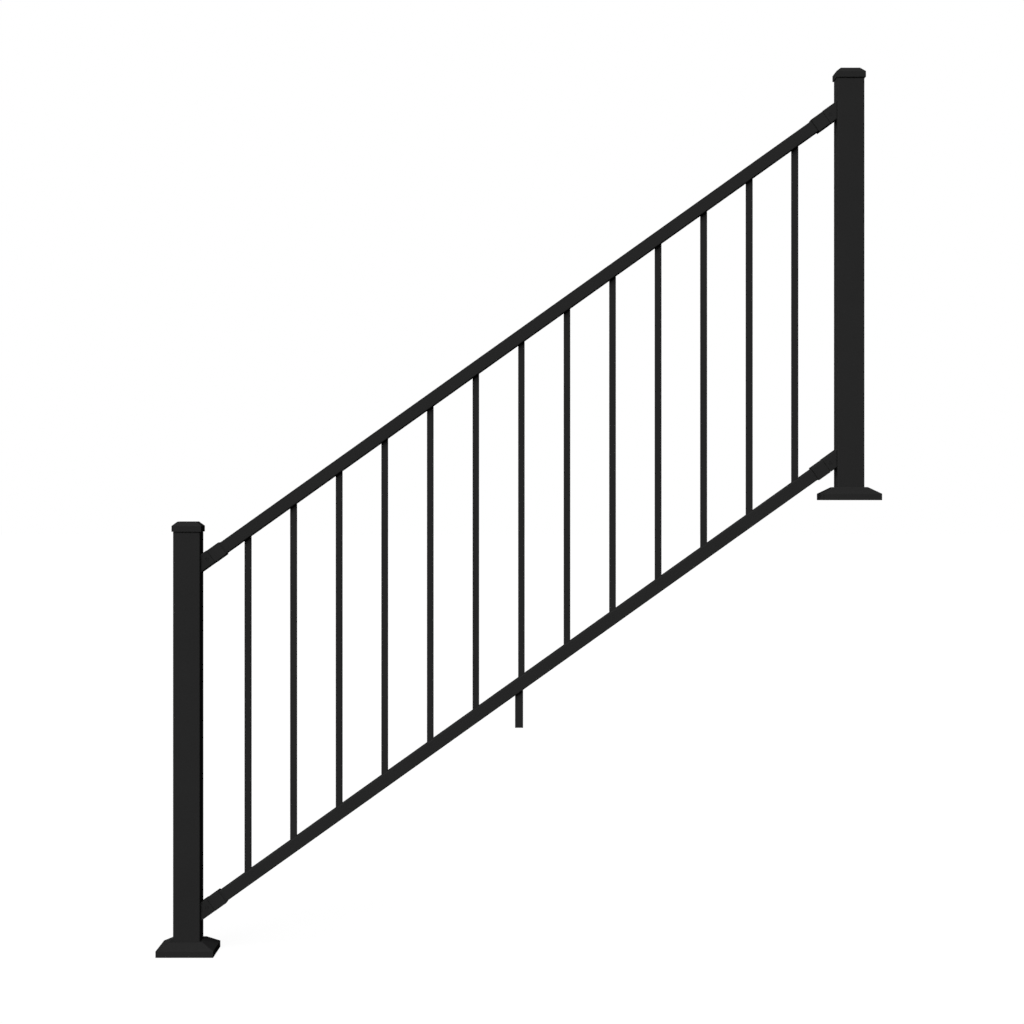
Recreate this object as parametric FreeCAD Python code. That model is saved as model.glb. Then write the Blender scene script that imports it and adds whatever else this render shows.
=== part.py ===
import FreeCAD, Part
import math
import os
from FreeCAD import Vector

os.makedirs("parts", exist_ok=True)

# Stair railing section: two square posts on bolted feet, two sloping rails held by
# pivoting end brackets, and upright square balusters between the rails.
# Millimetres. The origin is the centre of the underside of the lower post's foot plate,
# X runs level from the lower post to the upper one, Y across the stair and Z straight up.

# Pitch of the stair and clear width between the facing sides of the posts
stair_rise = 190.5
stair_tread = 267.1
clear_run = 1498.8

# Posts: square tube from the foot plate up to the cap
post_size = 63.5
post_wall = 2.3
post_corner = 2.4
post_above_rail = 86.75

# Post cap: a skirt round the tube, a sloping rim and a flat top
cap_wall = 2.85
cap_clearance = 0.15
cap_skirt = 10.9
cap_edge = 3.0
cap_rise = 10.0
cap_bevel = 12.05
cap_roof = 3.5

# Foot plate with four anchor holes
plate_margin = 31.75
plate_thickness = 9.5
plate_corner = 8.0
bolt_edge = 15.875
bolt_hole = 11.1

# Base cover: a thin square skirt that hides the foot plate
cover_wall = 2.0
cover_gap = 2.0
cover_lip = 15.3
cover_height = 30.8
cover_ledge = 6.5
cover_clearance = 0.5

# Rails: the same rectangular tube above and below
rail_depth = 29.6
rail_width = 36.5
rail_wall = 1.6
rail_corner = 2.4
bottom_rail_height = 97.9
top_rail_height = 918.75

# Balusters: square tube through routed holes in the facing walls of the rails
baluster_size = 15.4
baluster_wall = 1.2
baluster_corner = 0.8
baluster_count = 13
baluster_start = 109.6
baluster_finish = 96.8
baluster_clearance = 0.2

# Support foot under the middle of the bottom rail, a little up the slope
foot_size = 19.0
foot_wall = 1.8
foot_length = 83.3
foot_floor = 3.0
foot_offset = 0.9

# Rail bracket: a forked mount on the post, a cup round the rail end and a pivot pin
cup_wall = 2.55
cup_clearance = 0.15
cup_floor = 3.4
cup_corner = 3.0
cup_length = 32.8
rail_end_gap = 0.5
mount_reach = 29.5
mount_extra = 0.5
mount_offset = 0.5
shoulder_gap = 0.6
flange_thickness = 3.5
cheek_thickness = 4.0
ear_thickness = 4.0
ear_radius = 9.5
ear_clearance = 0.3
pivot_reach = 18.5
pin_diameter = 8.0
pin_clearance = 0.1
pin_recess = 0.3
flange_screw_hole = 5.5
flange_screw_spacing = 22.0
set_screw_hole = 4.2

# Sizes that follow from the driving ones
slope = stair_rise / stair_tread
slope_angle = math.degrees(math.atan(slope))
along = math.hypot(1.0, slope)
half_post = post_size / 2
post_top = top_rail_height + post_above_rail
plate_size = post_size + 2 * plate_margin
upper_x = post_size + clear_run
upper_z = slope * clear_run
slope_run = clear_run * along
cup_start = mount_reach + shoulder_gap
cup_depth = rail_depth + 2 * (cup_wall + cup_clearance)
cup_width = rail_width + 2 * (cup_wall + cup_clearance)
mount_depth = cup_depth + mount_extra
rail_start = cup_start + cup_floor + rail_end_gap
baluster_pitch = (clear_run - baluster_start - baluster_finish) / (baluster_count - 1)
reach = 3 * plate_size
ORIGIN = Vector(0, 0, 0)
X_AXIS = Vector(1, 0, 0)
Y_AXIS = Vector(0, 1, 0)


def rounded_square(width, depth, radius):
    """Closed outline in the XY plane, centred on the origin, with round corners."""
    x = width / 2
    y = depth / 2
    k = radius * (1 - math.sqrt(0.5))
    edges = [
        Part.LineSegment(Vector(radius - x, -y, 0), Vector(x - radius, -y, 0)),
        Part.Arc(Vector(x - radius, -y, 0), Vector(x - k, k - y, 0), Vector(x, radius - y, 0)),
        Part.LineSegment(Vector(x, radius - y, 0), Vector(x, y - radius, 0)),
        Part.Arc(Vector(x, y - radius, 0), Vector(x - k, y - k, 0), Vector(x - radius, y, 0)),
        Part.LineSegment(Vector(x - radius, y, 0), Vector(radius - x, y, 0)),
        Part.Arc(Vector(radius - x, y, 0), Vector(k - x, y - k, 0), Vector(-x, y - radius, 0)),
        Part.LineSegment(Vector(-x, y - radius, 0), Vector(-x, radius - y, 0)),
        Part.Arc(Vector(-x, radius - y, 0), Vector(k - x, k - y, 0), Vector(radius - x, -y, 0)),
    ]
    return Part.Wire([edge.toShape() for edge in edges])


def rounded_bar(width, depth, radius, length, bottom=0.0):
    """Solid upright bar with round corners."""
    bar = Part.Face(rounded_square(width, depth, radius)).extrude(Vector(0, 0, length))
    bar.translate(Vector(0, 0, bottom))
    return bar


def clipped_bar(width, depth, corner, length, bottom=0.0):
    """Solid upright bar with its corners cut off at 45 degrees."""
    x = width / 2
    y = depth / 2
    outline = [
        Vector(corner - x, -y, bottom),
        Vector(x - corner, -y, bottom),
        Vector(x, corner - y, bottom),
        Vector(x, y - corner, bottom),
        Vector(x - corner, y, bottom),
        Vector(corner - x, y, bottom),
        Vector(-x, y - corner, bottom),
        Vector(-x, corner - y, bottom),
    ]
    face = Part.Face(Part.makePolygon(outline + outline[:1]))
    return face.extrude(Vector(0, 0, length))


def block(size_x, size_y, low, high):
    """Square-edged block centred on the Z axis between two heights."""
    return Part.makeBox(size_x, size_y, high - low, Vector(-size_x / 2, -size_y / 2, low))


def tube(width, depth, wall, corner, length, bottom=0.0):
    """Upright tube, round at its outer corners and square inside."""
    bore = block(width - 2 * wall, depth - 2 * wall, bottom, bottom + length)
    return rounded_bar(width, depth, corner, length, bottom).cut(bore)


def frustum(low_size, low, high_size, high):
    """Square pyramid with its point cut off, centred on the Z axis."""
    a = low_size / 2
    b = high_size / 2
    wedge = Part.makeWedge(-a, low, -a, -b, -b, a, high, a, b, b)
    wedge.rotate(ORIGIN, X_AXIS, 90)
    return wedge


def y_hole(diameter, x):
    """Long cutter along Y at a distance along X."""
    return Part.makeCylinder(diameter / 2, reach, Vector(x, -reach / 2, 0), Y_AXIS)


def laid_along(shape):
    """Turn a bar that stands along Z so that it runs along X."""
    shape.rotate(ORIGIN, Y_AXIS, 90)
    return shape


def tilted(shape):
    """Turn a piece that runs along X up to the pitch of the stair."""
    shape.rotate(ORIGIN, Y_AXIS, -slope_angle)
    return shape


def space_above(height):
    """Cutter that fills the space above a plane at the pitch through (0, 0, height)."""
    slab = tilted(Part.makeBox(reach, reach, reach, Vector(-reach / 2, -reach / 2, 0)))
    slab.translate(Vector(0, 0, height))
    return slab


def space_below(height):
    """Cutter that fills the space below a plane at the pitch through (0, 0, height)."""
    slab = tilted(Part.makeBox(reach, reach, reach, Vector(-reach / 2, -reach / 2, -reach)))
    slab.translate(Vector(0, 0, height))
    return slab


def save(shape, name, x=0.0, z=0.0):
    """Write one piece, moved to its place."""
    placed = shape.copy()
    placed.translate(Vector(x, 0, z))
    placed.exportStep("parts/" + name + ".step")


def make_post():
    return tube(post_size, post_size, post_wall, post_corner, post_top - plate_thickness, plate_thickness)


def make_cap():
    """Cap whose skirt slips over the tube and whose roof is hollow from below."""
    rim = post_size + 2 * (cap_wall + cap_clearance)
    edge = post_top + cap_edge
    crown = edge + cap_rise
    cap = block(rim, rim, post_top - cap_skirt, edge)
    cap = cap.fuse(frustum(rim, edge, rim - 2 * cap_bevel, crown)).removeSplitter()
    seat = post_size + 2 * cap_clearance
    cap = cap.cut(rounded_bar(seat, seat, post_corner, cap_skirt, post_top - cap_skirt))
    bore = post_size - 2 * post_wall
    roof = crown - cap_roof
    taper = 2 * (roof - post_top) * cap_bevel / cap_rise
    return cap.cut(frustum(bore, post_top, bore - taper, roof))


def make_plate():
    """Square plate with clipped corners and four anchor holes."""
    plate = clipped_bar(plate_size, plate_size, plate_corner, plate_thickness)
    offset = plate_size / 2 - bolt_edge
    for x in (-offset, offset):
        for y in (-offset, offset):
            plate = plate.cut(Part.makeCylinder(bolt_hole / 2, plate_thickness, Vector(x, y, 0)))
    return plate


def make_cover():
    """Thin shell: upright lip, sloping top and a flat ledge with the hole for the post."""
    size = plate_size + 2 * (cover_wall + cover_gap)
    ledge = post_size + 2 * (cover_clearance + cover_ledge)
    rise = (cover_height - cover_lip) / ((size - ledge) / 2)
    cover = block(size, size, 0, cover_lip).fuse(frustum(size, cover_lip, ledge, cover_height))
    inner = size - 2 * cover_wall
    inner_lip = cover_lip + cover_wall * (rise - math.hypot(1.0, rise))
    ceiling = cover_height - cover_wall
    inner_ledge = inner - 2 * (ceiling - inner_lip) / rise
    cavity = block(inner, inner, 0, inner_lip).fuse(frustum(inner, inner_lip, inner_ledge, ceiling))
    cover = cover.removeSplitter().cut(cavity.removeSplitter())
    hole = post_size + 2 * cover_clearance
    return cover.cut(rounded_bar(hole, hole, post_corner, cover_height))


def make_rail(height, hole_side):
    """Rail with routed holes in its upper wall (hole_side 1) or its lower wall (-1)."""
    length = slope_run - 2 * rail_start
    rail = laid_along(tube(rail_depth, rail_width, rail_wall, rail_corner, length, rail_start))
    rail = tilted(rail)
    rail.translate(Vector(half_post, 0, height))
    hole = baluster_size + 2 * baluster_clearance
    cut_height = rail_depth * along
    for i in range(baluster_count):
        run = baluster_start + i * baluster_pitch
        bottom = min(0, hole_side * cut_height)
        cutter = block(hole, hole, bottom, bottom + cut_height)
        cutter.translate(Vector(half_post + run, 0, height + slope * run))
        rail = rail.cut(cutter)
    return rail


def make_baluster():
    """Baluster on its own centre line: a tube with both ends cut to the pitch."""
    seat = (rail_depth / 2 - rail_wall) * along
    low = bottom_rail_height - seat
    high = top_rail_height + seat
    spare = slope * baluster_size
    start = low - spare
    end = high + spare
    bore = baluster_size - 2 * baluster_wall
    bar = clipped_bar(baluster_size, baluster_size, baluster_corner, end - start, start)
    bar = bar.cut(block(bore, bore, start, end))
    return bar.cut(space_above(high)).cut(space_below(low))


def make_foot():
    """Support foot: a closed end below, and an open top on the underside of the rail."""
    underside = bottom_rail_height + slope * clear_run / 2 - rail_depth / 2 * along
    low = underside - foot_length
    top = underside + slope * foot_size
    bore = foot_size - 2 * foot_wall
    foot = block(foot_size, foot_size, low, top).cut(block(bore, bore, low + foot_floor, top))
    return foot.cut(space_above(underside))


def make_bracket_mount(up):
    """Fork on the post: a flange, two cheeks and the holes for the pin and screws.

    Its body stands a little above the line of the rail, where up is 1 or, turned over, -1.
    """
    length = mount_reach + mount_depth
    fork = laid_along(rounded_bar(mount_depth, cup_width, cup_corner, length, mount_reach - length))
    fork.translate(Vector(0, 0, up * mount_offset))
    fork = tilted(fork.cut(y_hole(pin_diameter + 2 * pin_clearance, pivot_reach)))
    fork = fork.cut(Part.makeBox(reach, reach, reach, Vector(-reach, -reach / 2, -reach / 2)))
    slot = cup_width - 2 * cheek_thickness
    fork = fork.cut(Part.makeBox(reach, slot, reach, Vector(flange_thickness, -slot / 2, -reach / 2)))
    for z in (-flange_screw_spacing / 2, flange_screw_spacing / 2):
        hole = Part.makeCylinder(flange_screw_hole / 2, flange_thickness, Vector(0, 0, z), X_AXIS)
        fork = fork.cut(hole)
    return fork


def make_bracket_cup(screw_side):
    """Cup round the rail end, with two ears for the pin and a set screw hole in one wall."""
    cup = laid_along(rounded_bar(cup_depth, cup_width, cup_corner, cup_length, cup_start))
    depth = rail_depth + 2 * cup_clearance
    width = rail_width + 2 * cup_clearance
    pocket = block(depth, width, cup_start + cup_floor, cup_start + cup_length)
    cup = cup.cut(laid_along(pocket))
    outer = cup_width / 2 - cheek_thickness - ear_clearance
    root_length = cup_start - pivot_reach
    for y in (-outer, outer - ear_thickness):
        nose = Part.makeCylinder(ear_radius, ear_thickness, Vector(pivot_reach, y, 0), Y_AXIS)
        corner = Vector(pivot_reach, y, -ear_radius)
        root = Part.makeBox(root_length, ear_thickness, 2 * ear_radius, corner)
        cup = cup.fuse(nose.fuse(root))
    cup = cup.removeSplitter().cut(y_hole(pin_diameter + 2 * pin_clearance, pivot_reach))
    screw_x = cup_start + (cup_length + cup_floor) / 2
    screw = Part.makeCylinder(set_screw_hole / 2, cup_depth, Vector(screw_x, 0, 0))
    if screw_side < 0:
        screw.translate(Vector(0, 0, -cup_depth))
    return tilted(cup.cut(screw))


def make_bracket_pin():
    length = cup_width - 2 * pin_recess
    start = Vector(pivot_reach, -length / 2, 0)
    return tilted(Part.makeCylinder(pin_diameter / 2, length, start, Y_AXIS))


def write_posts():
    """Post, cap, foot plate and base cover, once for each end of the section."""
    pieces = {"post": make_post(), "post_cap": make_cap()}
    pieces.update({"base_plate": make_plate(), "base_cover": make_cover()})
    for name, shape in pieces.items():
        save(shape, "lower_" + name)
        save(shape, "upper_" + name, upper_x, upper_z)


def write_rails():
    save(make_rail(top_rail_height, -1), "top_rail")
    save(make_rail(bottom_rail_height, 1), "bottom_rail")


def write_balusters():
    baluster = make_baluster()
    for i in range(baluster_count):
        run = baluster_start + i * baluster_pitch
        save(baluster, "baluster_%02d" % (i + 1), half_post + run, slope * run)


def write_brackets():
    """A bracket at each rail end; the upper ones are turned half a turn about Y."""
    pin = make_bracket_pin()
    lower = {"mount": make_bracket_mount(1), "cup": make_bracket_cup(-1), "pin": pin}
    upper = {"mount": make_bracket_mount(-1), "cup": make_bracket_cup(1), "pin": pin}
    for rail, height in (("top", top_rail_height), ("bottom", bottom_rail_height)):
        for name, shape in lower.items():
            save(shape, rail + "_rail_lower_" + name, half_post, height)
        for name, shape in upper.items():
            turned = shape.copy()
            turned.rotate(ORIGIN, Y_AXIS, 180)
            save(turned, rail + "_rail_upper_" + name, upper_x - half_post, upper_z + height)


write_posts()
write_rails()
write_balusters()
save(make_foot(), "support_foot", half_post + clear_run / 2 + foot_offset, slope * foot_offset)
write_brackets()
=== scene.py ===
import math

import bmesh
import bpy
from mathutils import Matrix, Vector


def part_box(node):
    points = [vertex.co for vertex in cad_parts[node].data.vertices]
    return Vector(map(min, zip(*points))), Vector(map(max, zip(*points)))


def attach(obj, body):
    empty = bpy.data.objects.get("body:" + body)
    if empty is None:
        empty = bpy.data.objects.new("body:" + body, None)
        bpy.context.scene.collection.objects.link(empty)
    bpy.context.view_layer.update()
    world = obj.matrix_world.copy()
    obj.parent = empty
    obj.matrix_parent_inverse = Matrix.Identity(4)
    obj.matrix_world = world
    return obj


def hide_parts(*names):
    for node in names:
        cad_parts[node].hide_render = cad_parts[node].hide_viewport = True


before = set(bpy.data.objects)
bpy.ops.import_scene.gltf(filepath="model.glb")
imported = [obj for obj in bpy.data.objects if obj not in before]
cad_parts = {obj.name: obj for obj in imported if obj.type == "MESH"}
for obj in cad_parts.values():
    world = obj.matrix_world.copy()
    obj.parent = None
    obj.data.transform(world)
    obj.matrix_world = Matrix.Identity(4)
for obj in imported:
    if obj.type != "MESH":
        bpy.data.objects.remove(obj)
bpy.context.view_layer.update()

# A stair railing section: posts, caps, base covers, rails, balusters, foot and end brackets.
# All of it is black powder-coated metal. Metres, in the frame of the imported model.
MM = 0.001
MICRON = 0.000001

# Camera at the photograph's viewpoint, level and square to the railing
IMAGE_SIDE = 1024
FOCAL_PIXELS = 2311.75
HORIZON_PIXEL = 497.22
CAMERA_PLACE = Vector((0.76533, -5.46554, 1.07590))
SENSOR_WIDTH = 36.0

# Studio: lamp levels are the light on a surface square to the X, Y or Z axis
KEY_LEVELS = Vector((-0.12, -0.81, 0.73))
KEY_SOFTNESS = math.radians(42.0)
SIDE_LEVELS = Vector((-0.46, -0.15, 0.03))
SIDE_SOFTNESS = math.radians(20.0)
BACK_LEVELS = Vector((-0.62, 1.0, 0.03))
BACK_SOFTNESS = math.radians(20.0)
FILL_LEVEL = 0.065
FLOOR_SIDE = 120.0
FLOOR_SHADE = 0.09
FLOOR_WHITE = 0.94

# Powder coat of each slot: shade, height of the grain and of the orange peel, roughness
COATS = {
    "post_coat": (0.0194, 16 * MICRON, 18 * MICRON, 0.62),
    "rail_coat": (0.0194, 16 * MICRON, 18 * MICRON, 0.62),
    "baluster_coat": (0.0194, 16 * MICRON, 16 * MICRON, 0.62),
    "foot_coat": (0.0192, 16 * MICRON, 18 * MICRON, 0.62),
    "cast_coat": (0.0196, 20 * MICRON, 26 * MICRON, 0.66),
    "bracket_coat": (0.0196, 20 * MICRON, 30 * MICRON, 0.66),
    "cover_coat": (0.0196, 18 * MICRON, 24 * MICRON, 0.64),
    "plate_coat": (0.0190, 20 * MICRON, 34 * MICRON, 0.68),
    "pin_coat": (0.0180, 8 * MICRON, 8 * MICRON, 0.50),
}
PIN_COAT = "pin_coat"

# Noise of the coat: scale, detail and roughness, and how far each one shifts a value
GRAIN_NOISE = (2600.0, 2.0, 0.6)
PEEL_NOISE = (420.0, 1.0, 0.4)
CLOUD_NOISE = (9.0, 3.0, 0.55)
SPECK_NOISE = (1900.0, 2.0, 0.6)
NOISE_LOW = 0.3
NOISE_HIGH = 0.7
CLOUD_SPREAD = 0.035
SPECK_SPREAD = 0.07
ROUGHNESS_SPREAD = 0.05

# Sizes of the solids that the screws follow
RAIL_HALF_DEPTH = 14.8 * MM
CUP_START = 30.1 * MM
CUP_LENGTH = 32.8 * MM
CUP_FLOOR = 3.4 * MM
FLANGE_THICKNESS = 3.5 * MM
FLANGE_SCREW_SPACING = 22.0 * MM

# Screws and pins of the brackets
SEGMENTS = 36
SOCKET_SIDES = 6
SOCKET_LEAD = 0.12 * MM
SET_SCREW_PLACE = CUP_START + (CUP_LENGTH + CUP_FLOOR) / 2
SET_SCREW_RADIUS = 2.0 * MM
SET_SCREW_LENGTH = 2.3 * MM
SET_SCREW_EDGE = 0.3 * MM
SET_SCREW_SOCKET = 1.0 * MM
SET_SCREW_SOCKET_DEPTH = 1.5 * MM
SHANK_RADIUS = 2.4 * MM
SHANK_START = 0.1 * MM
HEAD_RADIUS = 4.75 * MM
HEAD_HEIGHT = 2.7 * MM
HEAD_CROWN = 2.2 * MM
HEAD_STEPS = 4
HEAD_STEP_ANGLE = math.radians(15.0)
HEAD_SOCKET = 1.5 * MM
HEAD_SOCKET_DEPTH = 1.6 * MM
PIN_CHAMFER = 0.2 * MM
PIN_SOCKET = 2.0 * MM
PIN_SOCKET_DEPTH = 3.0 * MM

# Radius and steps of the rounded edges, by the ending of a piece's name
SHARP_ANGLE = math.radians(25.0)
SOFT_EDGES = (
    ("_post_cap", 0.5 * MM, 3),
    ("_base_cover", 0.6 * MM, 3),
    ("_base_plate", 0.6 * MM, 2),
    ("_mount", 0.5 * MM, 2),
    ("_cup", 0.5 * MM, 2),
    ("_foot", 0.6 * MM, 3),
)
WELD_DISTANCE = 0.002 * MM
FLAT_ANGLE = math.radians(1.0)
FACE_WEIGHT = 100

# Places, from the pieces of the frame
lower_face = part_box("lower_post")[1].x
upper_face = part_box("upper_post")[0].x
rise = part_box("upper_post")[1].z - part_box("lower_post")[1].z
slope_angle = math.atan2(rise, upper_face - lower_face)
up_slope = Vector((math.cos(slope_angle), 0, math.sin(slope_angle)))
under_rail = Vector((math.sin(slope_angle), 0, -math.cos(slope_angle)))


def add_to_scene(name, data):
    """New object in the scene that shows a mesh, a lamp or a camera."""
    added = bpy.data.objects.new(name, data)
    bpy.context.scene.collection.objects.link(added)
    return added


def new_material(name):
    """Empty node material with its output, ready for a shader."""
    material = bpy.data.materials.new(name)
    material.use_nodes = True
    tree = material.node_tree
    tree.nodes.clear()
    return material, tree, tree.nodes.new("ShaderNodeOutputMaterial")


def mapped_noise(tree, coordinates, settings):
    """Noise texture in the object's own coordinates."""
    noise = tree.nodes.new("ShaderNodeTexNoise")
    for name, value in zip(("Scale", "Detail", "Roughness"), settings):
        noise.inputs[name].default_value = value
    tree.links.new(coordinates, noise.inputs["Vector"])
    return noise.outputs["Fac"]


def spread_about(tree, noise, middle, spread):
    """The usual range of a noise, laid from spread below a middle value to spread above it."""
    node = tree.nodes.new("ShaderNodeMapRange")
    node.inputs["From Min"].default_value = NOISE_LOW
    node.inputs["From Max"].default_value = NOISE_HIGH
    node.inputs["To Min"].default_value = middle - spread
    node.inputs["To Max"].default_value = middle + spread
    tree.links.new(noise, node.inputs["Value"])
    return node.outputs["Result"]


def bumped(tree, height, distance, normal=None):
    """Bump of a real height in metres, on top of another normal if there is one."""
    bump = tree.nodes.new("ShaderNodeBump")
    bump.inputs["Strength"].default_value = 1.0
    bump.inputs["Distance"].default_value = distance
    tree.links.new(height, bump.inputs["Height"])
    if normal is not None:
        tree.links.new(normal, bump.inputs["Normal"])
    return bump.outputs["Normal"]


def powder_coat(name, shade, grain, peel, roughness):
    """Matte black powder coat: fine grain, a slight orange peel and a faint cloudiness.

    shade is how pale the coat is, and grain and peel are heights in metres.
    """
    material, tree, output = new_material(name)
    coordinates = tree.nodes.new("ShaderNodeTexCoord").outputs["Object"]
    fine = mapped_noise(tree, coordinates, GRAIN_NOISE)
    ripple = mapped_noise(tree, coordinates, PEEL_NOISE)
    cloud = mapped_noise(tree, coordinates, CLOUD_NOISE)
    speck = mapped_noise(tree, coordinates, SPECK_NOISE)

    mottle = tree.nodes.new("ShaderNodeMath")
    mottle.operation = "MULTIPLY"
    tree.links.new(spread_about(tree, cloud, 1.0, CLOUD_SPREAD), mottle.inputs[0])
    tree.links.new(spread_about(tree, speck, 1.0, SPECK_SPREAD), mottle.inputs[1])
    colour = tree.nodes.new("ShaderNodeVectorMath")
    colour.operation = "SCALE"
    colour.inputs[0].default_value = (shade, shade, shade)
    tree.links.new(mottle.outputs[0], colour.inputs["Scale"])

    shader = tree.nodes.new("ShaderNodeBsdfPrincipled")
    shader.inputs["Specular IOR Level"].default_value = 0.0
    tree.links.new(colour.outputs[0], shader.inputs["Base Color"])
    matte = spread_about(tree, speck, roughness, ROUGHNESS_SPREAD)
    tree.links.new(matte, shader.inputs["Roughness"])
    normal = bumped(tree, ripple, peel)
    tree.links.new(bumped(tree, fine, grain, normal), shader.inputs["Normal"])
    tree.links.new(shader.outputs[0], output.inputs["Surface"])
    return material


def make_camera():
    """Level camera, shifted so that the horizon lies on its row of the photograph."""
    data = bpy.data.cameras.new("camera")
    data.sensor_width = SENSOR_WIDTH
    data.lens = FOCAL_PIXELS / IMAGE_SIDE * SENSOR_WIDTH
    data.shift_y = (HORIZON_PIXEL - IMAGE_SIDE / 2) / IMAGE_SIDE
    camera = add_to_scene("camera", data)
    camera.location = CAMERA_PLACE
    camera.rotation_euler = (math.radians(90), 0, 0)
    bpy.context.scene.camera = camera


def make_sun(name, levels, softness):
    """Distant soft lamp; level 1 shows a facing colour as it is written."""
    data = bpy.data.lights.new(name, "SUN")
    data.energy = math.pi * levels.length
    data.angle = softness
    lamp = add_to_scene(name, data)
    lamp.rotation_mode = "QUATERNION"
    lamp.rotation_quaternion = levels.to_track_quat("Z", "Y")


def seen_directly(tree):
    """1 for rays from the camera, or through gloss or glass, and 0 for other light."""
    path = tree.nodes.new("ShaderNodeLightPath")
    total = path.outputs["Is Camera Ray"]
    for name in ("Is Glossy Ray", "Is Transmission Ray"):
        either = tree.nodes.new("ShaderNodeMath")
        either.operation = "MAXIMUM"
        tree.links.new(total, either.inputs[0])
        tree.links.new(path.outputs[name], either.inputs[1])
        total = either.outputs[0]
    return total


def make_world():
    """White where it is looked at, and a low even fill as a light."""
    world = bpy.data.worlds.new("studio")
    world.use_nodes = True
    tree = world.node_tree
    tree.nodes.clear()
    background = tree.nodes.new("ShaderNodeBackground")
    background.inputs["Color"].default_value = (1, 1, 1, 1)
    level = tree.nodes.new("ShaderNodeMapRange")
    level.inputs["To Min"].default_value = FILL_LEVEL
    level.inputs["To Max"].default_value = 1.0
    tree.links.new(seen_directly(tree), level.inputs["Value"])
    tree.links.new(level.outputs["Result"], background.inputs["Strength"])
    output = tree.nodes.new("ShaderNodeOutputWorld")
    tree.links.new(background.outputs[0], output.inputs["Surface"])
    bpy.context.scene.world = world


def floor_white():
    """Pale diffuse surface with a glow only where it is looked at, so that it stays white."""
    material, tree, output = new_material("floor_white")
    diffuse = tree.nodes.new("ShaderNodeBsdfDiffuse")
    diffuse.inputs["Color"].default_value = (FLOOR_SHADE, FLOOR_SHADE, FLOOR_SHADE, 1)
    glow = tree.nodes.new("ShaderNodeEmission")
    level = tree.nodes.new("ShaderNodeMath")
    level.operation = "MULTIPLY"
    level.inputs[1].default_value = FLOOR_WHITE
    tree.links.new(seen_directly(tree), level.inputs[0])
    tree.links.new(level.outputs[0], glow.inputs["Strength"])
    both = tree.nodes.new("ShaderNodeAddShader")
    tree.links.new(diffuse.outputs[0], both.inputs[0])
    tree.links.new(glow.outputs[0], both.inputs[1])
    tree.links.new(both.outputs[0], output.inputs["Surface"])
    return material


def make_floor():
    """Pale floor that stays white around a soft shadow."""
    mesh = bpy.data.meshes.new("floor")
    half = FLOOR_SIDE / 2
    corners = [(-half, -half, 0), (half, -half, 0), (half, half, 0), (-half, half, 0)]
    mesh.from_pydata(corners, [], [(0, 1, 2, 3)])
    floor = add_to_scene("floor", mesh)
    mesh.materials.append(floor_white())


def ring_point(angle, radius, sides):
    """Point of a circle, or of a polygon whose flats lie at the radius."""
    if sides:
        step = 2 * math.pi / sides
        radius = radius / math.cos((angle % step) - step / 2)
    return Vector((radius * math.cos(angle), radius * math.sin(angle), 0))


def turned(shape, profile, place, axis):
    """Add a closed turned solid to a mesh under construction.

    Each row of the profile is a height along the axis, a radius and a number of sides,
    with 0 sides for a circle.
    """
    turn = axis.to_track_quat("Z", "Y").to_matrix()
    rings = []
    for height, radius, sides in profile:
        ring = []
        for i in range(SEGMENTS):
            point = ring_point(2 * math.pi * i / SEGMENTS, radius, sides)
            point.z = height
            ring.append(shape.verts.new(place + turn @ point))
        rings.append(ring)
    tips = [shape.verts.new(place + axis * profile[end][0]) for end in (0, -1)]
    for i in range(SEGMENTS):
        j = (i + 1) % SEGMENTS
        for below, above in zip(rings, rings[1:]):
            shape.faces.new((below[i], below[j], above[j], above[i]))
        shape.faces.new((rings[0][j], rings[0][i], tips[0]))
        shape.faces.new((rings[-1][i], rings[-1][j], tips[1]))


def finished(shape, name, slot):
    """Turn a mesh under construction into a piece that rides with the frame."""
    bmesh.ops.recalc_face_normals(shape, faces=shape.faces)
    for face in shape.faces:
        face.smooth = True
    for edge in shape.edges:
        if len(edge.link_faces) == 2 and edge.calc_face_angle() > SHARP_ANGLE:
            edge.smooth = False
    mesh = bpy.data.meshes.new(name)
    shape.to_mesh(mesh)
    shape.free()
    mesh.materials.append(coats[slot])
    piece = add_to_scene(name, mesh)
    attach(piece, "root")
    return piece


def socket_rows(face, radius, depth):
    """Profile of a hexagon socket sunk from a flat face."""
    return [
        (face, radius + SOCKET_LEAD, SOCKET_SIDES),
        (face - SOCKET_LEAD, radius, SOCKET_SIDES),
        (face - depth, radius, SOCKET_SIDES),
    ]


def add_set_screw(shape, seat, outward):
    """Headless screw that stands on the rail inside its hole in the cup."""
    top = SET_SCREW_LENGTH
    rows = [
        (0, SET_SCREW_RADIUS - SET_SCREW_EDGE, 0),
        (SET_SCREW_EDGE, SET_SCREW_RADIUS, 0),
        (top - SET_SCREW_EDGE, SET_SCREW_RADIUS, 0),
        (top, SET_SCREW_RADIUS - SET_SCREW_EDGE, 0),
    ]
    rows += socket_rows(top, SET_SCREW_SOCKET, SET_SCREW_SOCKET_DEPTH)
    turned(shape, rows, seat, outward)


def add_flange_screw(shape, place, outward):
    """Button-head screw through the flange, with its head on the flange's inner face."""
    low = FLANGE_THICKNESS
    top = low + HEAD_HEIGHT
    rows = [(SHANK_START, SHANK_RADIUS, 0), (low, SHANK_RADIUS, 0), (low, HEAD_RADIUS, 0)]
    full_rise = math.sin(HEAD_STEPS * HEAD_STEP_ANGLE)
    for i in range(1, HEAD_STEPS + 1):
        bend = i * HEAD_STEP_ANGLE
        radius = HEAD_RADIUS - (1 - math.cos(bend)) * HEAD_CROWN
        rows.append((low + HEAD_HEIGHT * math.sin(bend) / full_rise, radius, 0))
    rows += socket_rows(top, HEAD_SOCKET, HEAD_SOCKET_DEPTH)
    turned(shape, rows, place, outward)


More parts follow.
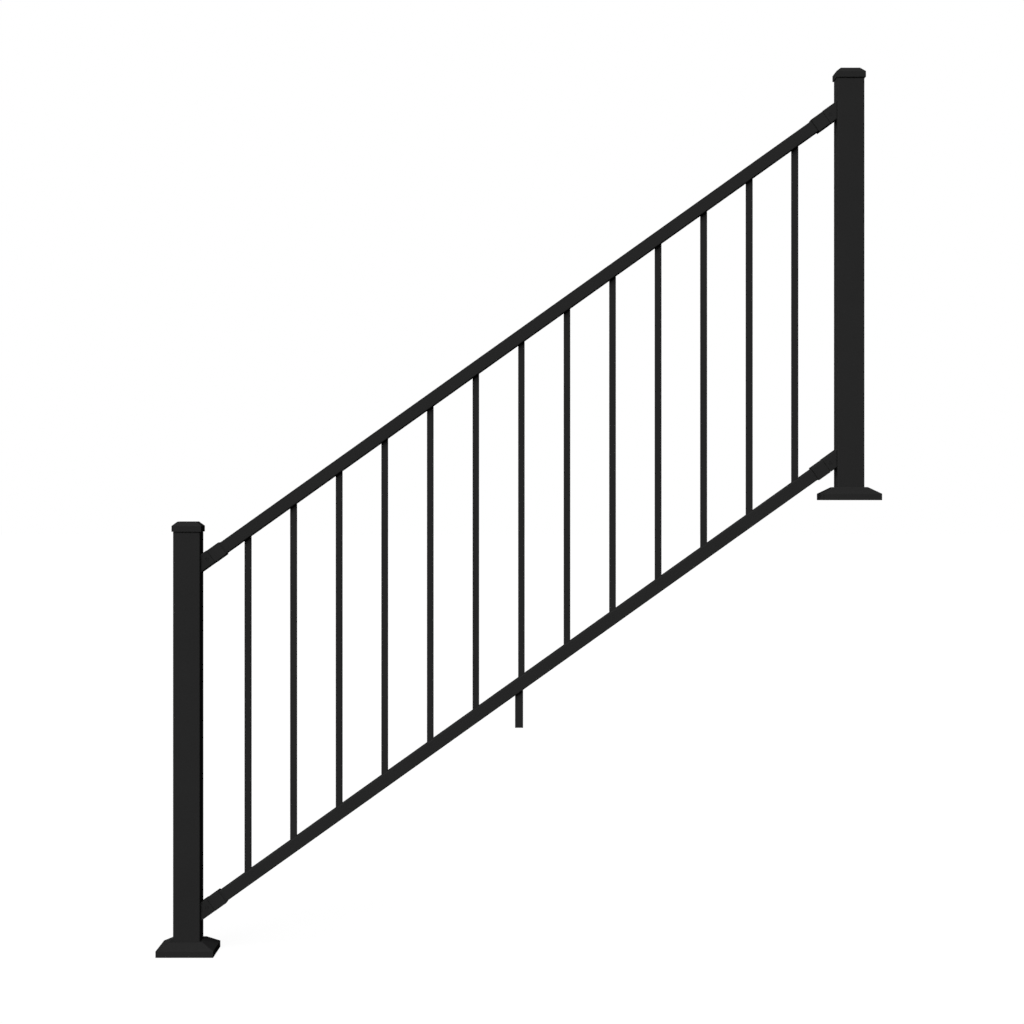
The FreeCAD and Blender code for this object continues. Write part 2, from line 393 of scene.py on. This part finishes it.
def make_pin(rail_end):
    """Pivot pin with broken edges, and a socket in its far end for the key."""
    node = rail_end + "_pin"
    low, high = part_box(node)
    centre = (low + high) / 2
    radius = (high.x - low.x) / 2
    half = (high.y - low.y) / 2
    rows = [
        (-half, radius - PIN_CHAMFER, 0),
        (-half + PIN_CHAMFER, radius, 0),
        (half - PIN_CHAMFER, radius, 0),
        (half, radius - PIN_CHAMFER, 0),
    ]
    rows += socket_rows(half, PIN_SOCKET, PIN_SOCKET_DEPTH)
    shape = bmesh.new()
    turned(shape, rows, centre, Vector((0, 1, 0)))
    pin = finished(shape, node + "_turned", PIN_COAT)
    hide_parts(node)


def make_screws(rail_end):
    """The set screw and the two flange screws of one bracket, as one piece."""
    at_lower_post = rail_end.endswith("_lower")
    side = 1 if at_lower_post else -1
    face = lower_face if at_lower_post else upper_face
    pin_low, pin_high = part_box(rail_end + "_pin")
    pin_place = (pin_low + pin_high) / 2
    reach = (pin_place.x - face) / up_slope.x
    root = pin_place - up_slope * reach
    shape = bmesh.new()
    seat = root + up_slope * side * SET_SCREW_PLACE + under_rail * RAIL_HALF_DEPTH
    add_set_screw(shape, seat, under_rail)
    for offset in (-FLANGE_SCREW_SPACING / 2, FLANGE_SCREW_SPACING / 2):
        add_flange_screw(shape, root + Vector((0, 0, offset)), Vector((side, 0, 0)))
    finished(shape, rail_end + "_screws", PIN_COAT)


def smooth_group():
    """Geometry node group that shades a mesh smooth."""
    group = bpy.data.node_groups.new("smooth", "GeometryNodeTree")
    group.interface.new_socket(name="Geometry", in_out="INPUT", socket_type="NodeSocketGeometry")
    group.interface.new_socket(name="Geometry", in_out="OUTPUT", socket_type="NodeSocketGeometry")
    source = group.nodes.new("NodeGroupInput")
    shade = group.nodes.new("GeometryNodeSetShadeSmooth")
    target = group.nodes.new("NodeGroupOutput")
    group.links.new(source.outputs[0], shade.inputs["Geometry"])
    group.links.new(shade.outputs[0], target.inputs[0])
    return group


def soften(piece, width, segments, group):
    """Round the hard edges of a piece by a small radius, as its coat does."""
    weld = piece.modifiers.new("weld", "WELD")
    weld.merge_threshold = WELD_DISTANCE
    flat = piece.modifiers.new("flat", "DECIMATE")
    flat.decimate_type = "DISSOLVE"
    flat.angle_limit = FLAT_ANGLE
    bevel = piece.modifiers.new("bevel", "BEVEL")
    bevel.width = width
    bevel.segments = segments
    bevel.limit_method = "ANGLE"
    bevel.angle_limit = SHARP_ANGLE
    bevel.use_clamp_overlap = False
    shade = piece.modifiers.new("shade", "NODES")
    shade.node_group = group
    normals = piece.modifiers.new("normals", "WEIGHTED_NORMAL")
    normals.weight = FACE_WEIGHT
    normals.keep_sharp = False


make_camera()
make_world()
make_sun("key", KEY_LEVELS, KEY_SOFTNESS)
make_sun("side", SIDE_LEVELS, SIDE_SOFTNESS)
make_sun("back", BACK_LEVELS, BACK_SOFTNESS)
make_floor()

# Each piece of the frame gets its coat, and those named in SOFT_EDGES their rounded edges
coats = {slot: powder_coat(slot, *look) for slot, look in COATS.items()}
rounding = smooth_group()
for node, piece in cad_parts.items():
    slot = piece.material_slots[0].material.name
    piece.material_slots[0].material = coats[slot]
    for ending, width, segments in SOFT_EDGES:
        if node.endswith(ending):
            soften(piece, width, segments, rounding)

for rail in ("top", "bottom"):
    for end in ("lower", "upper"):
        make_pin("%s_rail_%s" % (rail, end))
        make_screws("%s_rail_%s" % (rail, end))

bpy.context.scene.view_settings.view_transform = "Standard"
